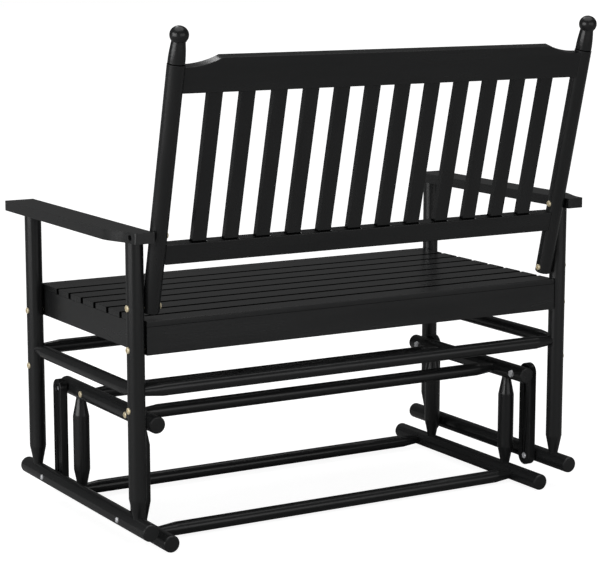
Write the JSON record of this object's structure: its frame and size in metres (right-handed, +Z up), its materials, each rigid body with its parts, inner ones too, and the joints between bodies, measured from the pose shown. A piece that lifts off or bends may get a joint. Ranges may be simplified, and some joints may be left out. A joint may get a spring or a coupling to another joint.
{
  "type": "glider bench",
  "caption": "Black wooden two-seat glider bench: a seat frame with arms and a raked slatted back hangs by four swing links from a low round-rail base and glides level",
  "frame": {"origin": "On the floor under the centre of the whole bench's bounding box, with the links hanging straight down", "axes": "+X across the bench towards the sitter's left, +Y from the front to the back, +Z up"},
  "size_m": [1.108, 0.6949, 1.0294],
  "materials": {
    "black_wood": "satin black paint on smooth hardwood",
    "brass_bolts": "yellow passivated, softly polished",
    "steel_bolts": "bright zinc plated",
    "bushes": "matte nylon"
  },
  "bodies": {
    "base_frame": {"base_floor_rail_left": "black_wood", "base_floor_rail_right": "black_wood", "base_upper_rail_left": "black_wood", "base_upper_rail_right": "black_wood", "base_post_front_left": "black_wood", "base_post_front_right": "black_wood", "base_post_rear_left": "black_wood", "base_post_rear_right": "black_wood", "base_lower_stretcher_front": "black_wood", "base_lower_stretcher_rear": "black_wood", "base_upper_stretcher_front": "black_wood", "base_upper_stretcher_rear": "black_wood", "base_joint_bolts": "brass_bolts", "upper_pivot_bolts": "steel_bolts"},
    "link_front_left": {"link_front_left": "black_wood", "link_bushes_front_left": "bushes"},
    "link_front_right": {"link_front_right": "black_wood", "link_bushes_front_right": "bushes"},
    "link_rear_left": {"link_rear_left": "black_wood", "link_bushes_rear_left": "bushes"},
    "link_rear_right": {"link_rear_right": "black_wood", "link_bushes_rear_right": "bushes"},
    "seat_frame": {"glide_rail_left": "black_wood", "glide_rail_right": "black_wood", "leg_front_left": "black_wood", "leg_front_right": "black_wood", "leg_rear_left": "black_wood", "leg_rear_right": "black_wood", "side_stretcher_left": "black_wood", "side_stretcher_right": "black_wood", "seat_stretcher_front": "black_wood", "seat_stretcher_rear": "black_wood", "seat_side_board_left": "black_wood", "seat_side_board_right": "black_wood", "seat_front_rail": "black_wood", "seat_rear_apron": "black_wood", "seat_centre_bearer": "black_wood", "seat_slat_1": "black_wood", "seat_slat_2": "black_wood", "seat_slat_3": "black_wood", "seat_slat_4": "black_wood", "seat_slat_5": "black_wood", "seat_slat_6": "black_wood", "seat_slat_7": "black_wood", "seat_slat_8": "black_wood", "arm_left": "black_wood", "arm_right": "black_wood", "back_post_left": "black_wood", "back_post_right": "black_wood", "crest_rail": "black_wood", "lower_back_rail": "black_wood", "back_slat_pair_1": "black_wood", "back_slat_pair_2": "black_wood", "back_slat_pair_3": "black_wood", "back_slat_pair_4": "black_wood", "back_slat_pair_5": "black_wood", "back_slat_pair_6": "black_wood", "lower_pivot_bolts": "steel_bolts", "leg_bolts": "brass_bolts", "arm_bolts": "brass_bolts"}
  },
  "joints": [
    {"name": "swing", "type": "hinge", "parent": "base_frame", "child": "link_front_left", "pos_m": [0.47825, -0.23047, 0.2445], "axis": [1, 0, 0], "range_deg": [-18, 18]},
    {"name": "swing_front_right", "type": "hinge", "parent": "base_frame", "child": "link_front_right", "pos_m": [-0.47825, -0.23047, 0.2445], "axis": [1, 0, 0], "range_deg": [-18, 18]},
    {"name": "swing_rear_left", "type": "hinge", "parent": "base_frame", "child": "link_rear_left", "pos_m": [0.47825, 0.14153, 0.2445], "axis": [1, 0, 0], "range_deg": [-18, 18]},
    {"name": "swing_rear_right", "type": "hinge", "parent": "base_frame", "child": "link_rear_right", "pos_m": [-0.47825, 0.14153, 0.2445], "axis": [1, 0, 0], "range_deg": [-18, 18]},
    {"name": "seat_level", "type": "hinge", "parent": "link_front_left", "child": "seat_frame", "pos_m": [0.47825, -0.23047, 0.055], "axis": [1, 0, 0], "range_deg": [-18, 18]}
  ],
  "couplings": [
    {"joint": "swing_front_right", "follows": "swing", "ratio": 1},
    {"joint": "swing_rear_left", "follows": "swing", "ratio": 1},
    {"joint": "swing_rear_right", "follows": "swing", "ratio": 1},
    {"joint": "seat_level", "follows": "swing", "ratio": -1}
  ]
}
